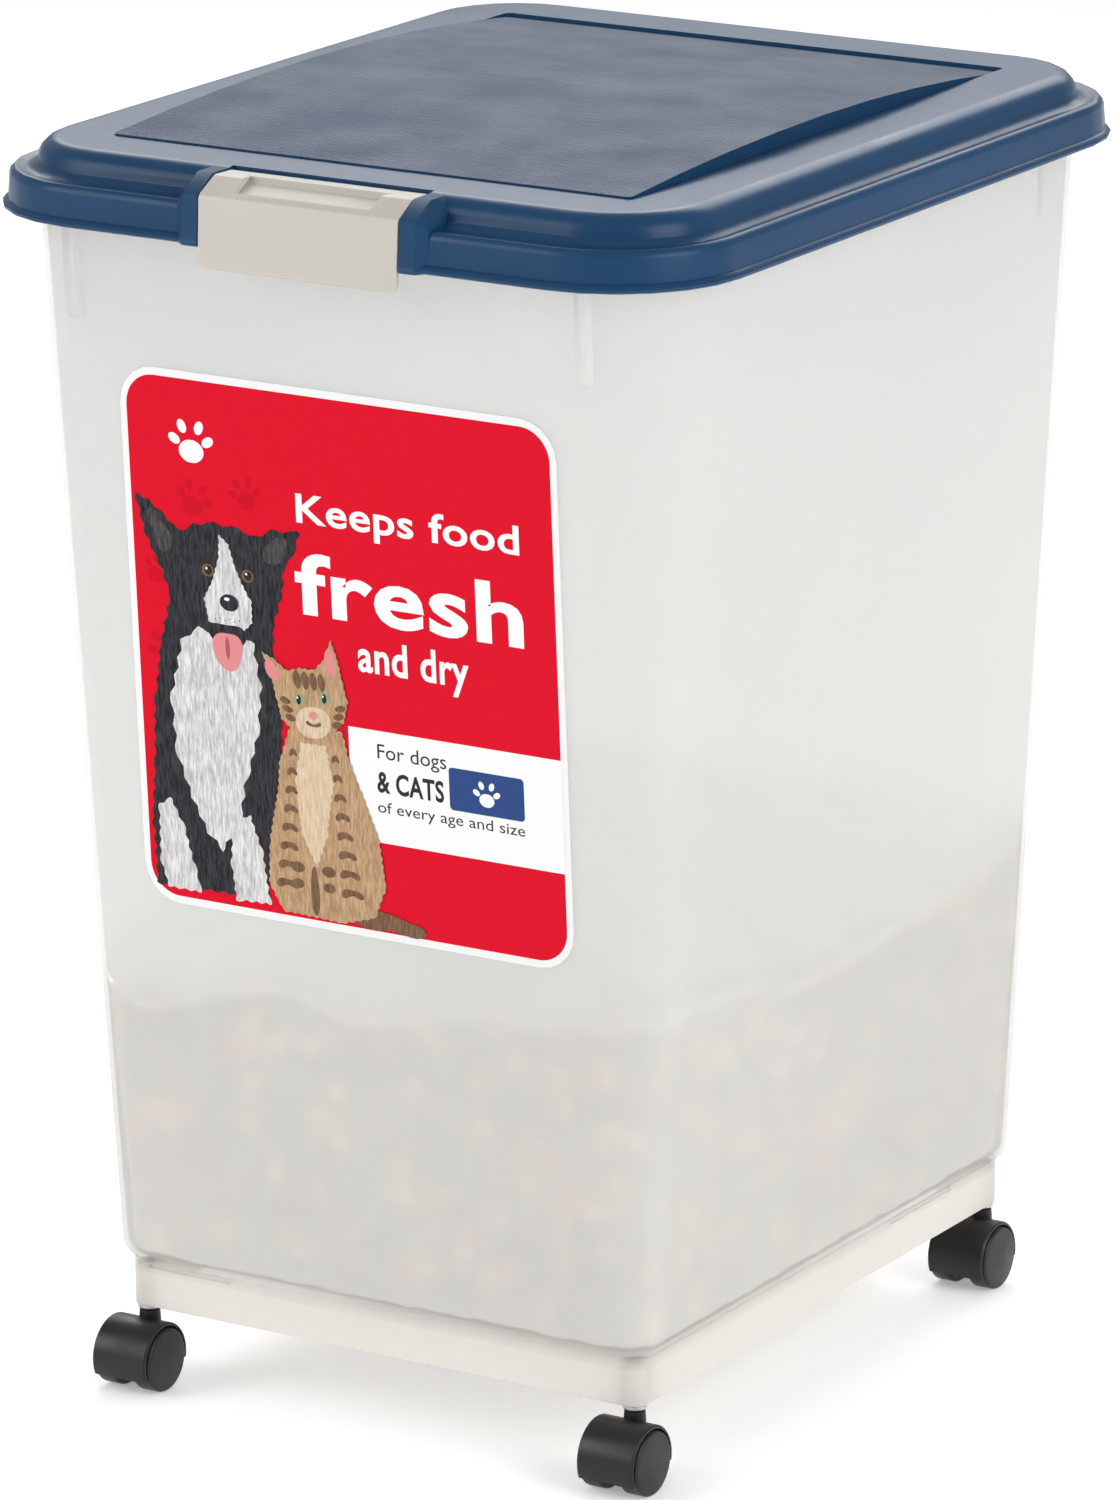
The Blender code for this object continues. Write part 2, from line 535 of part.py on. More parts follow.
def build():
    clear_scene()
    tub_mat = material("translucent_pp", (0.86, 0.87, 0.84), 0.45, transmission=0.5, alpha=0.55)
    lid_mat = material("navy_pp", (0.016, 0.045, 0.105), 0.38)
    latch_mat = material("ivory_pp", (0.74, 0.70, 0.64), 0.42)
    foam = material("gasket_foam", (0.50, 0.50, 0.50), 0.9)
    print_mat = material("label_print", (0.78, 0.02, 0.04), 0.35)
    tub(tub_mat)
    lid(lid_mat)
    lid_gasket(foam)
    latch(latch_mat)
    label(print_mat)
    steels, blacks = [], []
    hinge_steel = material("pin_steel", (0.55, 0.56, 0.58), 0.3, metallic=1.0)
    hinge_pin("hinge_pin_left", -1, hinge_steel)
    hinge_pin("hinge_pin_right", 1, hinge_steel)
    steel = material("caster_steel", (0.60, 0.61, 0.62), 0.28, metallic=1.0)
    black = material("caster_nylon", (0.018, 0.018, 0.020), 0.42)
    for where, sx, sy in (("front_left", -1, -1), ("front_right", 1, -1), ("back_left", -1, 1), ("back_right", 1, 1)):
        caster(where, sx, sy, steel, black)
        at = (sx * CASTER_AT[0], sy * CASTER_AT[1])
        for name in ("stem", "grip_ring", "hood"):
            set_origin(f"{name}_{where}", (*at, 0.0))
        for name in ("axle", "wheel_l", "wheel_r"):
            set_origin(f"{name}_{where}", (at[0], at[1] - AXLE_TRAIL, WHEEL_RADIUS))
    for name in ("lid", "lid_gasket"):
        set_origin(name, (0.0, *HINGE_AXIS))
    set_origin("latch", (0.0, *PIVOT))


build()
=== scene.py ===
"""A wheeled storage bin for dry pet food: milky polypropylene tub with food in it, navy lid, ivory latch, casters."""
import json
import math

import bpy
from mathutils import Matrix, Vector

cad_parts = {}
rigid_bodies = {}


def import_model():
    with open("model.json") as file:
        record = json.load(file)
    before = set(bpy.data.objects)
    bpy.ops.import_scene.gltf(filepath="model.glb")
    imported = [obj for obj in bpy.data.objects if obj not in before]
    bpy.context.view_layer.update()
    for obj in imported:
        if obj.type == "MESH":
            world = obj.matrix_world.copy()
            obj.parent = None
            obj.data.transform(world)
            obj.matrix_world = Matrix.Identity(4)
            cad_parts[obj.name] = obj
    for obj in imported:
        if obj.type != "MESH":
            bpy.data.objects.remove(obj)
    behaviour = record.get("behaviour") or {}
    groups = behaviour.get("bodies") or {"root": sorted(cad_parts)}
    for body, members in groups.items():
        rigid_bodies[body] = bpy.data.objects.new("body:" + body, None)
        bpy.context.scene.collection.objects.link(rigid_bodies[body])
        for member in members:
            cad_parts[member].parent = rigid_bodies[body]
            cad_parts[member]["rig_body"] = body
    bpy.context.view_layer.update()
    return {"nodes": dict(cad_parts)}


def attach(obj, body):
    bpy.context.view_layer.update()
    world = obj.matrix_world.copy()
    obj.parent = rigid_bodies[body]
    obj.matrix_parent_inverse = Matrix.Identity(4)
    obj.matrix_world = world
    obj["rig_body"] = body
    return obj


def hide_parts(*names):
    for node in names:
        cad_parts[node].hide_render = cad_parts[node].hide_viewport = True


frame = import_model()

nodes = frame["nodes"]


# --- Studio -----------------------------------------------------------------------------------------------------
# A wide floor of white paper, lit by large soft boxes: one in front, one to the right, and one above and behind that
# gives the lid a broad glow.
def studio_floor():
    bpy.ops.object.select_all(action="DESELECT")
    bpy.ops.mesh.primitive_grid_add(x_subdivisions=24, y_subdivisions=24, size=30)
    floor = bpy.context.object
    floor.name = "studio_floor"
    paper = bpy.data.materials.new("paper")
    paper.use_nodes = True
    shader = paper.node_tree.nodes["Principled BSDF"]
    shader.inputs["Base Color"].default_value = (0.93, 0.93, 0.93, 1)
    shader.inputs["Roughness"].default_value = 0.9
    shader.inputs["Specular IOR Level"].default_value = 0.1
    shader.inputs["Emission Color"].default_value = (1, 1, 1, 1)
    shader.inputs["Emission Strength"].default_value = 0.30
    floor.data.materials.append(paper)


def softbox(name, at, towards, size, power):
    data = bpy.data.lights.new(name, "AREA")
    data.shape = "RECTANGLE"
    data.size, data.size_y = size
    data.energy = power
    lamp = bpy.data.objects.new(name, data)
    bpy.context.scene.collection.objects.link(lamp)
    lamp.location = at
    lamp.rotation_euler = (Vector(towards) - Vector(at)).to_track_quat("-Z", "Y").to_euler()


def studio_camera():
    data = bpy.data.cameras.new("camera")
    data.sensor_width = 36
    data.lens = 199.97
    data.shift_x, data.shift_y = -0.0081, 0.0006
    data.clip_end = 100
    camera = bpy.data.objects.new("camera", data)
    bpy.context.scene.collection.objects.link(camera)
    at, towards = Vector((2.0055, -3.2466, 1.3829)), Vector((0, 0, 0.2912))
    roll = math.radians(-0.33)
    back = (at - towards).normalized()
    right = Vector((0, 0, 1)).cross(back).normalized()
    up = back.cross(right)
    right, up = (right * math.cos(roll) + up * math.sin(roll),
                 up * math.cos(roll) - right * math.sin(roll))
    camera.matrix_world = Matrix.Translation(at) @ Matrix((right, up, back)).transposed().to_4x4()
    bpy.context.scene.camera = camera


studio_floor()
studio_camera()
softbox("front_box", (-2.2, -2.6, 1.9), (0, 0, 0.3), (2.2, 2.2), 54)
softbox("right_box", (3.0, -0.6, 1.7), (0, 0, 0.3), (2.0, 2.0), 52)
softbox("top_box", (-1.0, 2.4, 2.2), (0, 0, 0.5), (3.0, 1.6), 55)
world = bpy.data.worlds.new("studio")
world.use_nodes = True
world.node_tree.nodes["Background"].inputs["Color"].default_value = (1, 1, 1, 1)
world.node_tree.nodes["Background"].inputs["Strength"].default_value = 0.46
bpy.context.scene.world = world
bpy.context.scene.view_settings.view_transform = "Standard"


# --- Tub --------------------------------------------------------------------------------------------------------
# Injection moulded natural polypropylene: one milky wall of about 2 mm, with a satin outside and soft flow marks.
# The foot skirt under the step is thicker and nearly opaque.
class Surface:
    """A Principled material with small helpers for grain."""

    def __init__(self, name, color, rough, **inputs):
        self.mat = bpy.data.materials.new(name)
        self.mat.use_nodes = True
        self.tree = self.mat.node_tree
        self.shader = self.tree.nodes["Principled BSDF"]
        self.out = self.tree.nodes["Material Output"]
        self.shader.inputs["Base Color"].default_value = (*color, 1)
        self.shader.inputs["Roughness"].default_value = rough
        for key, value in inputs.items():
            self.shader.inputs[key.replace("_", " ")].default_value = value
        self.coords = self.node("TexCoord").outputs["Object"]

    def node(self, kind, **values):
        made = self.tree.nodes.new("ShaderNode" + kind)
        for key, value in values.items():
            if hasattr(made, key):
                setattr(made, key, value)
            else:
                made.inputs[key.replace("_", " ")].default_value = value
        return made

    def link(self, source, target):
        self.tree.links.new(source, target)

    def noise(self, scale, detail=3.0, rough=0.5, stretch=(1, 1, 1)):
        mapping = self.node("Mapping")
        mapping.inputs["Scale"].default_value = stretch
        self.link(self.coords, mapping.inputs["Vector"])
        made = self.node("TexNoise", Scale=scale, Detail=detail, Roughness=rough)
        self.link(mapping.outputs["Vector"], made.inputs["Vector"])
        return made.outputs["Fac"]

    def cells(self, scale):
        made = self.node("TexVoronoi", Scale=scale)
        self.link(self.coords, made.inputs["Vector"])
        return made

    def ramp(self, source, low, high, from_low=0.3, from_high=0.7):
        made = self.node("MapRange")
        for key, value in zip(("From Min", "From Max", "To Min", "To Max"), (from_low, from_high, low, high)):
            made.inputs[key].default_value = value
        self.link(source, made.inputs["Value"])
        return made.outputs["Result"]

    def mix(self, share, a, b):
        """From colour a to colour b, each a fixed one or another node's."""
        made = self.node("Mix", data_type="RGBA")
        self.link(share, made.inputs["Factor"])
        for value, socket in ((a, made.inputs[6]), (b, made.inputs[7])):
            if isinstance(value, tuple):
                socket.default_value = (*value, 1)
            else:
                self.link(value, socket)
        return made.outputs[2]

    def color(self, source):
        self.link(source, self.shader.inputs["Base Color"])

    def rough(self, source, low, high):
        self.link(self.ramp(source, low, high), self.shader.inputs["Roughness"])

    def bump(self, source, strength, distance):
        made = self.node("Bump", Strength=strength, Distance=distance)
        self.link(source, made.inputs["Height"])
        last = self.shader.inputs["Normal"]
        if last.is_linked:
            self.link(last.links[0].from_socket, made.inputs["Normal"])
        self.link(made.outputs["Normal"], last)


def clean_copy(node, name, bevel=0.0, angle=35):
    """The CAD solid's shape with its corners welded, its flat faces whole and its edges just eased."""
    source = nodes[node]
    obj = bpy.data.objects.new(name, source.data.copy())
    bpy.context.scene.collection.objects.link(obj)
    obj.data.materials.clear()
    bpy.ops.object.select_all(action="DESELECT")
    obj.select_set(True)
    bpy.context.view_layer.objects.active = obj
    bpy.ops.object.mode_set(mode="EDIT")
    bpy.ops.mesh.select_all(action="SELECT")
    bpy.ops.mesh.remove_doubles(threshold=0.00001)
    bpy.ops.mesh.dissolve_limited(angle_limit=math.radians(0.5))
    bpy.ops.mesh.normals_make_consistent(inside=False)
    bpy.ops.object.mode_set(mode="OBJECT")
    if bevel:
        apply_modifier(obj, "BEVEL", width=bevel, segments=2, limit_method="ANGLE", angle_limit=math.radians(angle),
                       use_clamp_overlap=True)
    bpy.ops.object.shade_smooth_by_angle(angle=math.radians(angle))
    apply_modifier(obj, "WEIGHTED_NORMAL", keep_sharp=True)
    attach(obj, source["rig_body"])
    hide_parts(node)
    return obj


def apply_modifier(obj, kind, **values):
    modifier = obj.modifiers.new("shape", kind)
    for key, value in values.items():
        setattr(modifier, key, value)
    bpy.context.view_layer.objects.active = obj
    bpy.ops.object.modifier_apply(modifier=modifier.name)


def milky(name):
    """Light scatters in the wall and a part of it goes straight on. That food shows only where it lies against it is
    painted haze in the food's own material.
    """
    s = Surface(name, (0.93, 0.945, 0.93), 0.42, IOR=1.49)
    flow = s.noise(3.0, 4, 0.5, (1, 1, 0.35))
    height = s.node("SeparateXYZ")
    s.link(s.coords, height.inputs["Vector"])
    wall = s.ramp(height.outputs["Z"], 0, 1, 0.056, 0.066)
    body = s.mix(s.ramp(flow, 0, 1), (0.755, 0.755, 0.731), (0.800, 0.796, 0.767))
    s.color(s.mix(wall, (0.93, 0.905, 0.865), body))
    s.rough(s.noise(38, 3), 0.36, 0.50)
    s.bump(s.noise(900, 2), 0.10, 0.0003)
    s.bump(s.noise(5, 2), 0.12, 0.004)
    glow = s.node("BsdfTranslucent")
    s.link(s.shader.inputs["Base Color"].links[0].from_socket, glow.inputs["Color"])
    clear = s.node("BsdfTransparent")
    clear.inputs["Color"].default_value = (1, 1, 1, 1)
    half, see = s.node("MixShader"), s.node("MixShader")
    half.inputs["Fac"].default_value = 0.45
    s.link(s.shader.outputs["BSDF"], half.inputs[1])
    s.link(glow.outputs["BSDF"], half.inputs[2])
    s.link(s.ramp(wall, 0.08, 0.62, 0, 1), see.inputs["Fac"])
    s.link(half.outputs["Shader"], see.inputs[1])
    s.link(clear.outputs["BSDF"], see.inputs[2])
    s.link(see.outputs["Shader"], s.out.inputs["Surface"])
    return s.mat


tub = clean_copy("tub", "tub_moulding", 0.0004, 40)
tub.data.materials.append(milky("polypropylene_milky"))


# --- Food -------------------------------------------------------------------------------------------------------
# Dry kibble, a little under a third full. It lies loose in the tub, settled against the walls and heaped unevenly
# towards the back.
STEP_Z, UNDER_LID_Z = 0.0619, 0.5716       # the tub's wall runs between these heights
FOOT_HALF = (0.1489, 0.1787)               # half sizes of the tub at the step
FLARE = (0.0261, 0.0288)                   # and what they gain on the way up
FOOT_ROUND = 0.010                         # the wall's bottom edge is rounded


def wall_half(z, inset):
    """The tub's half sizes at a height: it tapers evenly from under the lid to the step."""
    t = (z - STEP_Z) / (UNDER_LID_Z - STEP_Z)
    return FOOT_HALF[0] + t * FLARE[0] - inset, FOOT_HALF[1] + t * FLARE[1] - inset


def between(stops, x):
    """Straight-line reading of a list of (place, height) stops."""
    for (x0, z0), (x1, z1) in zip(stops, stops[1:]):
        if x <= x1:
            return z0 + (z1 - z0) * max(0.0, x - x0) / (x1 - x0)
    return stops[-1][1]


def kibble():
    inset, low, top, foot = 0.0034, 0.0650, 0.2200, 0.18
    bpy.ops.object.select_all(action="DESELECT")
    bpy.ops.mesh.primitive_cube_add(size=2, location=(0, 0, (low + top) / 2))
    heap = bpy.context.object
    heap.name = "kibble"
    heap.scale = (1, 1, (top - low) / 2)
    bpy.ops.object.transform_apply(location=True, scale=True)
    for v in heap.data.vertices:
        half = wall_half(v.co.z, inset)
        v.co.x *= half[0]
        v.co.y *= half[1]
    bpy.ops.object.mode_set(mode="EDIT")
    bpy.ops.mesh.select_mode(type="EDGE")
    bpy.ops.mesh.select_all(action="DESELECT")
    bpy.ops.object.mode_set(mode="OBJECT")
    for e in heap.data.edges:
        a, b = (heap.data.vertices[i].co for i in e.vertices)
        e.select = abs(a.z - b.z) > 0.05
    bpy.ops.object.mode_set(mode="EDIT")
    bpy.ops.mesh.bevel(offset=0.020, segments=5, affect="EDGES")
    bpy.ops.object.mode_set(mode="OBJECT")
    apply_modifier(heap, "REMESH", mode="VOXEL", voxel_size=0.0035)
    # The heap's top, as (place, height) along the front wall and along the sides.
    along_front = ((-0.15, 0.210), (-0.124, 0.196), (-0.08, 0.211), (-0.043, 0.2175), (-0.009, 0.210),
                   (0.037, 0.215), (0.072, 0.227), (0.109, 0.225), (0.15, 0.229))
    along_side = ((-0.17, 0.230), (-0.109, 0.227), (-0.042, 0.215), (-0.011, 0.214), (0.07, 0.222),
                  (0.128, 0.230), (0.18, 0.233))
    for v in heap.data.vertices:
        # Down in the rounded foot the heap draws in with the wall.
        under = max(0.0, STEP_Z + FOOT_ROUND - v.co.z)
        pinch = 1 - (FOOT_ROUND - math.sqrt(FOOT_ROUND ** 2 - under ** 2)) / (FOOT_HALF[0] - inset)
        v.co.x *= pinch
        v.co.y *= pinch
        if v.co.z > foot:
            share = min(1.0, max(0.0, (v.co.y + 0.17) / 0.09))
            level = (1 - share) * between(along_front, v.co.x) + share * between(along_side, v.co.y)
            level += 0.0025 * math.sin(70 * v.co.x + 40 * v.co.y) * math.sin(55 * v.co.y)
            v.co.z = foot + (v.co.z - foot) * (level - foot) / (top - foot)
    lumps = bpy.data.textures.new("lumps", "VORONOI")
    lumps.noise_scale = 0.011
    lumps.distance_metric = "DISTANCE"
    modifier = heap.modifiers.new("lumps", "DISPLACE")
    modifier.texture, modifier.strength, modifier.mid_level = lumps, -0.0022, 0.0
    modifier.texture_coords = "LOCAL"
    bpy.ops.object.modifier_apply(modifier=modifier.name)
    bpy.ops.object.shade_smooth()
    s = Surface("kibble_mix", (0.35, 0.2, 0.1), 0.8)
    cell = s.cells(88)
    tint = s.node("ValToRGB")
    ramp = tint.color_ramp
    ramp.interpolation = "CONSTANT"
    shades = ((0.0, (0.26, 0.16, 0.10)), (0.28, (0.66, 0.46, 0.30)), (0.42, (0.08, 0.045, 0.03)),
              (0.64, (0.92, 0.54, 0.16)), (0.76, (0.66, 0.12, 0.08)), (0.87, (0.26, 0.27, 0.10)))
    while len(ramp.elements) < len(shades):
        ramp.elements.new(0.5)
    for element, (at, color) in zip(ramp.elements, shades):
        element.position, element.color = at, (*color, 1)
    pick = s.node("SeparateColor")
    s.link(cell.outputs["Color"], pick.inputs["Color"])
    s.link(pick.outputs["Red"], tint.inputs["Fac"])
    # Painted shade: each piece darkens towards the edge of its cell, standing for the shade in the gaps between
    # pieces.
    shade = s.ramp(cell.outputs["Distance"], 0, 1, 0.2, 0.75)
    food = s.mix(shade, tint.outputs["Color"], (0.09, 0.05, 0.03))
    # Painted haze: seen through the milky wall, food more than about a centimetre behind it is painted pale and made
    # to glow, standing in for light scattered in the wall.
    path = s.node("LightPath")
    painted_haze = s.node("Math", operation="MULTIPLY")
    s.link(s.ramp(path.outputs["Ray Length"], 0, 0.97, 0.008, 0.035), painted_haze.inputs[0])
    s.link(s.ramp(path.outputs["Transparent Depth"], 0, 1, 0.2, 0.8), painted_haze.inputs[1])
    s.color(s.mix(painted_haze.outputs["Value"], food, (0.93, 0.93, 0.91)))
    # Painted glow: a pale emission on the food behind the wall, part of the painted haze.
    s.shader.inputs["Emission Color"].default_value = (0.95, 0.95, 0.93, 1)
    s.link(s.ramp(painted_haze.outputs["Value"], 0, 0.26, 0, 1), s.shader.inputs["Emission Strength"])
    s.bump(s.noise(700, 3), 0.4, 0.001)
    heap.data.materials.append(s.mat)
    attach(heap, "bin")


kibble()


# --- Lid --------------------------------------------------------------------------------------------------------
# Injection moulded navy polypropylene: a satin border and skirt, and an arched panel with a fine leather grain. A
# ring of grey foam under the ledge seals it to the tub's rim.
def navy(name, color, rough, grain):
    s = Surface(name, color, rough, Specular_IOR_Level=0.20 if grain else 0.22)
    drift = s.noise(7, 3)
    light = tuple(c * 1.18 for c in color)
    s.color(s.mix(s.ramp(drift, 0, 1), color, light))
    s.rough(s.noise(26, 4), rough - 0.05, rough + 0.06)
    if grain:
        s.bump(s.cells(620).outputs["Distance"], 0.55, 0.0006)
        s.bump(s.noise(240, 4, 0.6), 0.45, 0.0008)
        # A small gate mark where the plastic was let in, and paler rub marks from wiping.
        middle = s.node("VectorMath", operation="MULTIPLY")
        middle.inputs[1].default_value = (1, 1, 0)
        s.link(s.coords, middle.inputs[0])
        reach = s.node("VectorMath", operation="LENGTH")
        s.link(middle.outputs["Vector"], reach.inputs[0])
        gate = s.ramp(reach.outputs["Value"], 1, 0, 0.0011, 0.0017)
        rubbed = s.mix(s.ramp(s.noise(16, 5, 0.6, (0.6, 1.6, 1)), 0, 1, 0.42, 0.66), color, (0.030, 0.058, 0.108))
        s.color(s.mix(gate, rubbed, (0.004, 0.009, 0.02)))
    else:
        s.bump(s.noise(1100, 2), 0.06, 0.0003)
    return s.mat


lid = clean_copy("lid", "lid_moulding", 0.0003, 32)
lid.data.materials.append(navy("navy_satin", (0.0078, 0.046, 0.115), 0.31, False))
lid.data.materials.append(navy("navy_leathergrain", (0.011, 0.040, 0.104), 0.50, True))
PANEL_HALF, PANEL_LOW = (0.1392, 0.1710), 0.6030
for face in lid.data.polygons:
    corners = [lid.data.vertices[i].co for i in face.vertices]
    inside = all(abs(c.x) < PANEL_HALF[0] and abs(c.y) < PANEL_HALF[1] and c.z > PANEL_LOW for c in corners)
    if inside and face.normal.z > 0.8:
        face.material_index = 1
gasket = clean_copy("lid_gasket", "gasket_ring", 0.0002, 40)
foam = Surface("foam_grey", (0.42, 0.42, 0.42), 0.9)
foam.bump(foam.noise(1500, 3), 0.5, 0.0006)
gasket.data.materials.append(foam.mat)


# --- Latch ------------------------------------------------------------------------------------------------------
# Moulded ivory polypropylene, glossier than the tub and quite opaque. It snaps on two pips between the blocks of the
# lid's notch, and hooks under the tub's rim.
def ivory():
    s = Surface("ivory_pp", (0.66, 0.62, 0.56), 0.40, IOR=1.49, Subsurface_Weight=0.15, Subsurface_Scale=0.004)
    s.color(s.mix(s.ramp(s.noise(9, 3), 0, 1), (0.52, 0.49, 0.44), (0.57, 0.54, 0.49)))
    s.rough(s.noise(45, 3), 0.34, 0.46)
    s.bump(s.noise(1000, 2), 0.08, 0.0003)
    return s.mat


latch = clean_copy("latch", "latch_moulding", 0.0006, 30)
latch.data.materials.append(ivory())


# --- Label ------------------------------------------------------------------------------------------------------
# A printed film with a white edge, stuck flat on the front wall: a red field, plain wording, a dog and a cat. Each
# ink is a thin layer over the last, so that the drawing reads from the back to the front.
LABEL_MIDDLE, FILM_THICK, INK_STEP = (0.0025, 0.380), 0.00060, 0.00004
LEAN = math.atan2(FLARE[1], UNDER_LID_Z - STEP_Z)      # the front wall leans out towards the top
PRINT = {}                                             # the drawings of each ink, joined at the end


def film(name, color, streaks=None):
    """A printed colour under a clear satin film. Streaks are a second colour that hair is drawn in."""
    s = Surface(name, color, 0.30, Specular_IOR_Level=0.07)
    if streaks:
        s.color(s.mix(s.ramp(s.noise(420, 4, 0.6, (2.2, 1, 0.35)), 0, 1, 0.35, 0.65), color, streaks))
    else:
        s.color(s.mix(s.ramp(s.noise(900, 2), 0, 1), color, tuple(c * 0.96 for c in color)))
    s.rough(s.noise(60, 3), 0.25, 0.35)
    s.bump(s.noise(24, 3), 0.05, 0.001)
    return s.mat


def onto_wall(obj, level):
    """Lays a flat drawing, in millimetres from the label's middle, on the leaning wall, each level over the last."""
    up = Vector((0, -math.sin(LEAN), math.cos(LEAN)))
    out = Vector((0, -math.cos(LEAN), -math.sin(LEAN)))
    x, z = LABEL_MIDDLE
    middle = Vector((x, -wall_half(z, 0)[1], z)) + out * (FILM_THICK + INK_STEP * level)
    turn = Matrix((Vector((1, 0, 0)), up, out)).transposed().to_4x4()
    obj.data.transform(Matrix.Translation(middle) @ turn @ Matrix.Scale(0.001, 4))


def keep_print(obj, ink, level):
    bpy.ops.object.select_all(action="DESELECT")
    obj.select_set(True)
    bpy.context.view_layer.objects.active = obj
    bpy.ops.object.convert(target="MESH")
    obj.data.transform(obj.matrix_basis)
    obj.matrix_basis = Matrix.Identity(4)
    for face in obj.data.polygons:
        if face.normal.z < 0:
            face.flip()
    obj.data.shade_flat()
    onto_wall(obj, level)
    PRINT.setdefault(ink, []).append(obj)


def shape(ink, level, points, ragged=0.0, mirror=False):
    """A smooth filled outline through points. Ragged makes it look like a coat of hair."""
    if ragged:
        fine = []
        for i, (x, y) in enumerate(points):
            nx, ny = points[(i + 1) % len(points)]
            steps = max(1, int(math.hypot(nx - x, ny - y) / (2.2 * ragged)))
            for k in range(steps):
                t = k / steps
                tooth = ragged * (0.5 if k % 2 else -0.35) * (1 + 0.5 * math.sin(5.1 * i + 3.3 * k))
                length = max(math.hypot(nx - x, ny - y), 0.001)
                fine.append((x + t * (nx - x) + tooth * (ny - y) / length,
                             y + t * (ny - y) - tooth * (nx - x) / length))
        points = fine
    curve = bpy.data.curves.new("drawn", "CURVE")
    curve.dimensions, curve.fill_mode, curve.resolution_u = "2D", "BOTH", 2 if ragged else 5
    spline = curve.splines.new("BEZIER")
    spline.bezier_points.add(len(points) - 1)
    for point, (x, y) in zip(spline.bezier_points, points):
        point.co = (x, y, 0)
        point.handle_left_type = point.handle_right_type = "AUTO"
    spline.use_cyclic_u = True
    obj = bpy.data.objects.new("drawn", curve)
    bpy.context.scene.collection.objects.link(obj)
    keep_print(obj, ink, level)


def oval(ink, level, at, size, tilt=0.0):
    turn = math.radians(tilt)
    points = []
    for i in range(8):
        a = math.pi * i / 4
        x, y = size[0] * math.cos(a), size[1] * math.sin(a)
        points.append((at[0] + x * math.cos(turn) - y * math.sin(turn),
                       at[1] + x * math.sin(turn) + y * math.cos(turn)))
    shape(ink, level, points)


def plate(ink, level, at, half, radius):
    """A rounded rectangle."""
    bpy.ops.object.select_all(action="DESELECT")
    bpy.ops.mesh.primitive_plane_add(size=2, location=(*at, 0))
    obj = bpy.context.object
    obj.scale = (*half, 1)
    bpy.ops.object.transform_apply(location=True, scale=True)
    bpy.ops.object.mode_set(mode="EDIT")
    bpy.ops.mesh.select_all(action="SELECT")
    bpy.ops.mesh.bevel(offset=radius, segments=10, affect="VERTICES")
    bpy.ops.object.mode_set(mode="OBJECT")
    keep_print(obj, ink, level)


def words(ink, level, text, at, height, width, bold=0.0):
    """Wording in the plain font, its capitals this high and the line this wide."""
    bpy.ops.object.select_all(action="DESELECT")
    bpy.ops.object.text_add(location=(0, 0, 0))
    obj = bpy.context.object
    obj.data.body, obj.data.size, obj.data.offset, obj.data.resolution_u = text, 1.0, bold, 4
    obj.data.space_character = 1 + 2 * bold
    bpy.context.view_layer.update()
    obj.scale = (width / obj.dimensions.x, height / 0.73, 1)
    obj.location = (*at, 0)
    bpy.context.view_layer.update()
    keep_print(obj, ink, level)


def paw(ink, level, at, size, tilt=0.0):
    oval(ink, level, at, (0.50 * size, 0.40 * size), tilt)
    for angle, reach in ((150, 0.78), (112, 0.92), (68, 0.92), (30, 0.78)):
        a = math.radians(angle + tilt)
        oval(ink, level, (at[0] + size * reach * math.cos(a), at[1] + size * reach * math.sin(a)),
             (0.17 * size, 0.25 * size), angle - 90 + tilt)


def label_ground():
    plate("red", 0, (0, 0), (113.6, 126.0), 15.5)
    for at, size, tilt in (((-97, -8), 12, 20), ((-80, 66), 11, -15), ((-50, 72), 10, 12), ((-102, 30), 9, -25)):
        paw("red_deep", 1, at, size, tilt)
    plate("white", 1, (57.0, -55.4), (57.0, 27.0), 0.4)
    paw("white", 1, (-79, 92), 13.5)
    words("white", 2, "Keeps food", (-24.5, 66.0), 14.0, 119.0, 0.018)
    words("white", 2, "fresh", (-24.5, 23.0), 29.5, 122.0, 0.024)
    words("white", 2, "and dry", (7.0, -0.6), 16.0, 59.5, 0.022)
    words("ink", 2, "For dogs", (14.5, -41.6), 7.4, 37.0)
    words("ink", 2, "& CATS", (14.5, -57.6), 10.2, 36.0, 0.026)
    words("ink", 2, "of every age and size", (14.0, -67.6), 5.6, 79.0)
    plate("blue", 2, (73.5, -50.4), (20.0, 10.2), 2.0)
    paw("white", 3, (73.5, -53.4), 8.0)


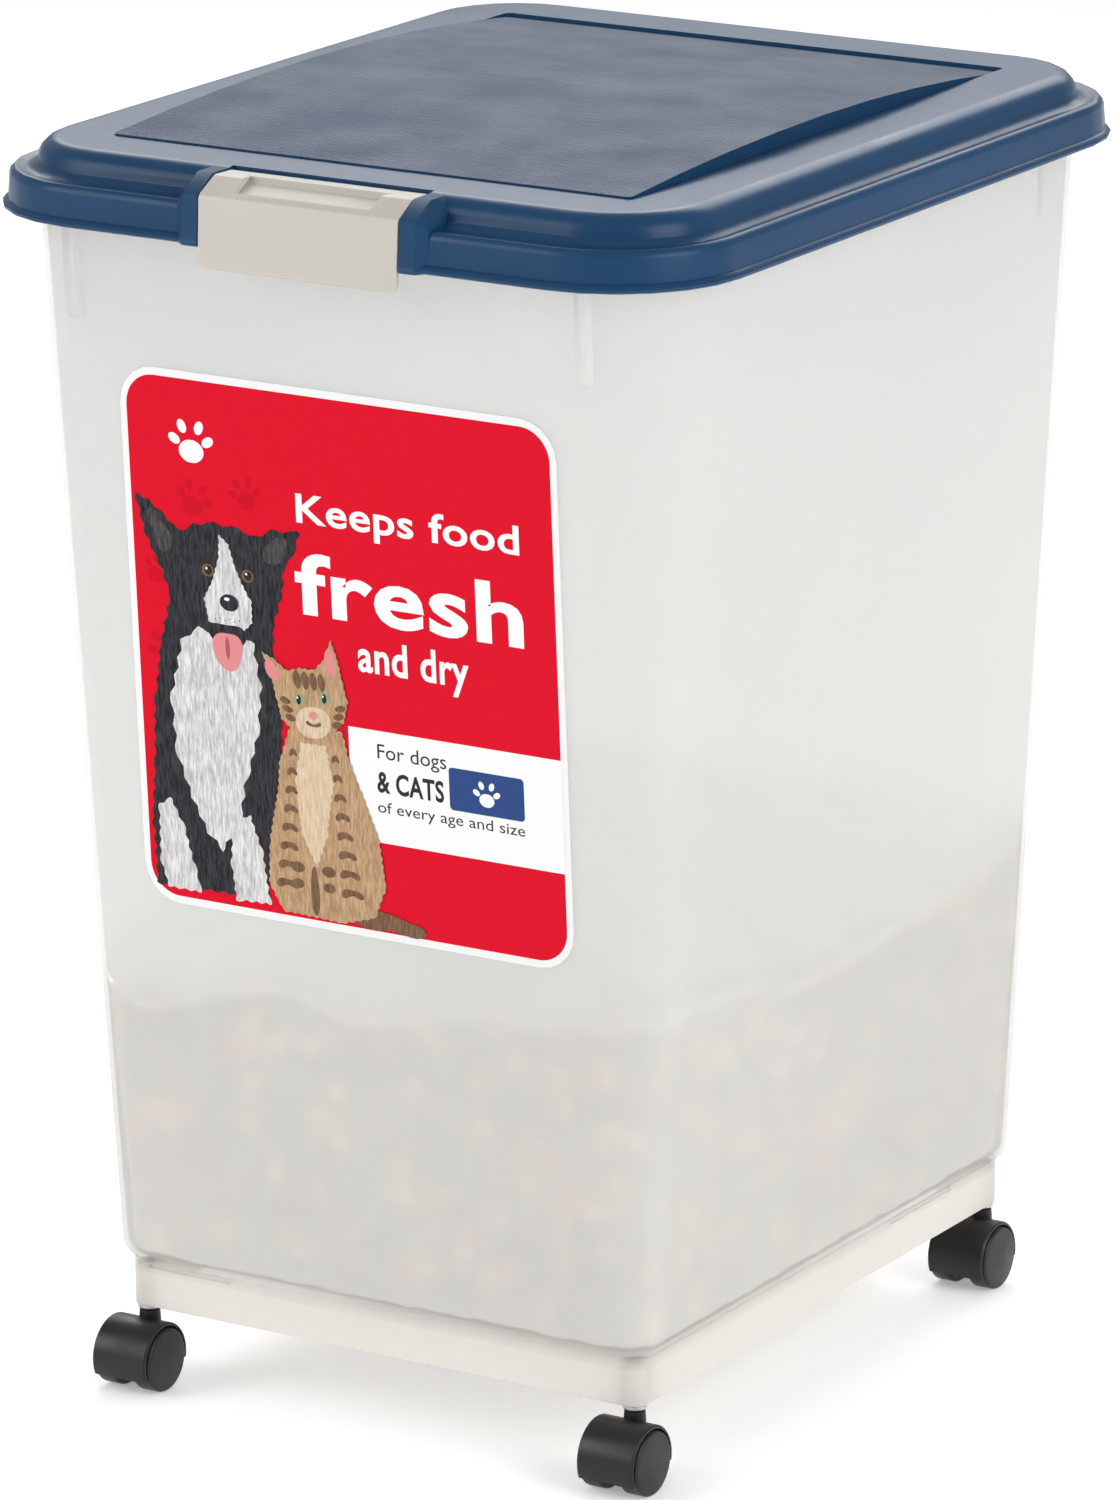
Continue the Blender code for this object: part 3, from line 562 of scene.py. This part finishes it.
def dog():
    shape("coat_black", 4, ((-111, 68), (-104, 66), (-97, 61), (-88, 53), (-80, 57), (-68, 59), (-55, 58), (-46, 56),
                            (-36, 60), (-22, 60.5), (-26, 50), (-31, 42), (-33, 28), (-38, 14), (-39, -4), (-36, -26),
                            (-38, -60), (-45, -95), (-48, -121), (-110, -121), (-111, -92), (-108, -60), (-106, -28),
                            (-101, 0), (-95, 22), (-100, 36), (-107, 50)), 1.6)
    shape("coat_grey", 5, ((-104, 62), (-98, 57), (-92, 47), (-97, 42), (-102, 50)))
    shape("coat_grey", 5, ((-30, 57), (-38, 54), (-42, 46), (-35, 44), (-30, 50)))
    shape("coat_white", 5, ((-90, 0), (-80, 8), (-64, 6), (-50, 4), (-47, -16), (-50, -40), (-57, -62), (-62, -84),
                            (-72, -100), (-80, -92), (-88, -76), (-96, -52), (-97, -26)), 2.0)
    shape("coat_white", 5, ((-107, -82), (-100, -78), (-93, -92), (-88, -112), (-86, -122), (-104, -122),
                            (-108, -108)), 1.2)
    shape("coat_white", 6, ((-66, -84), (-56, -80), (-50, -98), (-47, -122), (-66, -123), (-68, -104)), 1.2)
    shape("coat_white", 6, ((-66, 54), (-61, 50), (-58, 40), (-54, 31), (-50, 24), (-50, 14), (-56, 8), (-66, 8),
                            (-74, 12), (-76, 22), (-71, 31), (-67, 42)), 0.7)
    shape("coat_black", 7, ((-74, 9), (-64, 11), (-54, 9), (-55, 3), (-64, -1), (-72, 3)))
    shape("tongue", 8, ((-71, 5), (-64, 7), (-57, 5), (-57, -4), (-62, -11), (-68, -9), (-72, -2)))
    shape("tongue_line", 9, ((-64.6, 5), (-63.8, 5), (-63.6, -5), (-64.4, -5)))
    oval("coat_black", 8, (-62.0, 22.0), (5.2, 4.0))
    oval("gleam", 9, (-63.2, 23.6), (1.5, 0.8))
    for x in (-73.0, -51.2):
        oval("amber", 8, (x, 36.2), (3.3, 3.1))
        oval("coat_black", 9, (x + 0.3, 36.2), (2.0, 2.2))
        oval("gleam", 10, (x - 0.6, 37.1), (0.6, 0.6))
    for k in range(6):
        oval("coat_grey", 9, (-70 + 2.6 * k, 13.2 + 0.8 * (k % 2)), (0.3, 0.3))


def cat():
    tail = ((-6, -118), (12, -116), (28, -119), (38, -123), (36, -125.4), (20, -124.6), (4, -125))
    shape("stripe", 11, tail)
    shape("coat_tan", 12, ((-32, -34), (-38, -50), (-40, -66), (-46, -92), (-47, -112), (-40, -124), (-8, -125),
                           (10, -120), (17, -104), (14, -80), (5, -58), (-1, -42), (-3, -32)), 0.9)
    shape("coat_pale", 13, ((-26, -40), (-12, -40), (-9, -58), (-14, -84), (-20, -100), (-28, -84), (-30, -58)), 0.9)
    shape("coat_tan", 14, ((-45.4, 1.0), (-38, -2), (-32, -6), (-25, -4), (-17, -4), (-12, 1), (-7, 11.6), (-3.6, 2),
                           (-1.4, -9), (0.6, -17), (-2, -27), (-9, -34), (-18, -39), (-28, -37), (-36, -30),
                           (-38.6, -19), (-41, -8)), 0.7)
    shape("tongue", 15, ((-42.6, -2), (-38.4, -4.5), (-36, -8), (-39, -12)))
    shape("tongue", 15, ((-7.8, 7.4), (-5.6, 0), (-5.4, -5), (-9.8, -3)))
    shape("coat_pale", 15, ((-27, -26), (-19, -22), (-10, -25), (-10, -32), (-18, -37), (-27, -34)))
    for k, x in enumerate((-27, -22.5, -18, -13.5)):
        shape("stripe", 16, ((x - 0.7, -5.5), (x + 0.7, -5.5), (x + 1.2 - 0.2 * k, -14), (x - 0.5, -13)))
    for side in (-1, 1):
        for row in range(3):
            y = -20.5 - 4.0 * row
            x = -18.5 + side * (17.5 - 1.2 * row)
            shape("stripe", 16, ((x, y + 1), (x - side * 5, y), (x - side * 5.4, y - 1.0), (x, y - 0.6)))
    for row in range(8):
        y = -46 - 9.2 * row
        wide = 3.5 + 1.1 * row
        for side in (-1, 1):
            x = -19 + side * (11.5 + 0.9 * row)
            shape("stripe", 14, ((x - wide / 2, y + 1.4), (x, y + 2.4), (x + wide / 2, y + 0.6),
                                 (x + wide / 2, y - 1.2), (x, y - 0.4), (x - wide / 2, y - 1.6)))
    for x in (-31, -14):
        shape("stripe", 15, ((x - 3.5, -100), (x + 3.5, -100), (x + 3.0, -102.6), (x - 3.0, -102.6)))
        shape("stripe", 15, ((x - 3.0, -108), (x + 3.0, -108), (x + 2.6, -110.4), (x - 2.6, -110.4)))
    shape("stripe", 14, ((-22.6, -100), (-21.4, -100), (-21.0, -123), (-22.8, -123)))
    for x, y in ((-26.0, -19.4), (-12.0, -17.0)):
        oval("iris", 17, (x, y), (3.2, 2.9))
        oval("coat_black", 18, (x, y), (1.2, 2.3))
        oval("gleam", 19, (x - 0.7, y + 1.0), (0.5, 0.5))
    shape("tongue", 17, ((-20.8, -25.4), (-16.4, -25.0), (-18.6, -28.0)))
    shape("stripe", 17, ((-22.6, -29.4), (-18.6, -31.4), (-14.4, -29.4), (-18.6, -30.3)))


def label_print():
    base = clean_copy("label", "label_film", 0.0, 40)
    base.data.materials.append(film("film_white", (0.86, 0.86, 0.86)))
    label_ground()
    dog()
    cat()
    # Each ink's colour, and a second one where it is streaked like hair.
    inks = {
        "red": ((0.70, 0.003, 0.020), None),
        "red_deep": ((0.58, 0.002, 0.014), None),
        "white": ((0.90, 0.90, 0.90), None),
        "ink": ((0.03, 0.03, 0.032), None),
        "blue": ((0.03, 0.07, 0.22), None),
        "coat_black": ((0.012, 0.012, 0.014), (0.05, 0.05, 0.058)),
        "coat_grey": ((0.10, 0.09, 0.09), (0.03, 0.03, 0.03)),
        "coat_white": ((0.80, 0.79, 0.78), (0.42, 0.41, 0.42)),
        "coat_tan": ((0.56, 0.38, 0.22), (0.36, 0.21, 0.11)),
        "coat_pale": ((0.74, 0.60, 0.44), (0.58, 0.42, 0.27)),
        "stripe": ((0.13, 0.070, 0.04), (0.24, 0.14, 0.08)),
        "tongue": ((0.72, 0.26, 0.27), None),
        "tongue_line": ((0.42, 0.10, 0.12), None),
        "gleam": ((0.9, 0.9, 0.9), None),
        "amber": ((0.20, 0.10, 0.04), None),
        "iris": ((0.30, 0.36, 0.20), None)}
    for ink, drawn in PRINT.items():
        bpy.ops.object.select_all(action="DESELECT")
        for obj in drawn:
            obj.select_set(True)
        bpy.context.view_layer.objects.active = drawn[0]
        if len(drawn) > 1:
            bpy.ops.object.join()
        joined = bpy.context.object
        joined.name = f"label_{ink}"
        joined.data.materials.clear()
        color, streaks = inks[ink]
        joined.data.materials.append(film(f"print_{ink}", color, streaks))
        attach(joined, "bin")


label_print()


# --- Hinge pins -------------------------------------------------------------------------------------------------
# Zinc-plated steel pins, headed at the outer end. Each is pushed through the lid's lug and the two ears of the tub,
# and the lid swings on it.
steel = Surface("steel_zinc", (0.56, 0.57, 0.59), 0.32, Metallic=1.0)
steel.rough(steel.noise(180, 4), 0.24, 0.42)
steel.bump(steel.noise(400, 3, 0.5, (6, 1, 1)), 0.15, 0.0003)
for side in ("left", "right"):
    pin = clean_copy(f"hinge_pin_{side}", f"pin_{side}", 0.0002, 40)
    pin.data.materials.append(steel.mat)


# --- Casters ----------------------------------------------------------------------------------------------------
# Twin wheels under a hood, moulded in black nylon, on a plated stem pressed into the tub's post.
nylon = Surface("nylon_black", (0.0075, 0.0080, 0.0085), 0.42, Specular_IOR_Level=0.4)
nylon.rough(nylon.noise(60, 4), 0.30, 0.48)
nylon.bump(nylon.noise(900, 3), 0.12, 0.0004)
for where in ("front_left", "front_right", "back_left", "back_right"):
    for kind, bevel, slot in (("socket", 0.0002, "caster_steel"), ("stem", 0.0001, "caster_steel"),
                              ("grip_ring", 0.0, "caster_steel"), ("axle", 0.0001, "caster_steel"),
                              ("hood", 0.0004, "caster_nylon"), ("wheel_l", 0.0003, "caster_nylon"),
                              ("wheel_r", 0.0003, "caster_nylon")):
        piece = clean_copy(f"{kind}_{where}", f"{kind}_{where}_part", bevel, 32)
        piece.data.materials.append(nylon.mat if slot == "caster_nylon" else steel.mat)
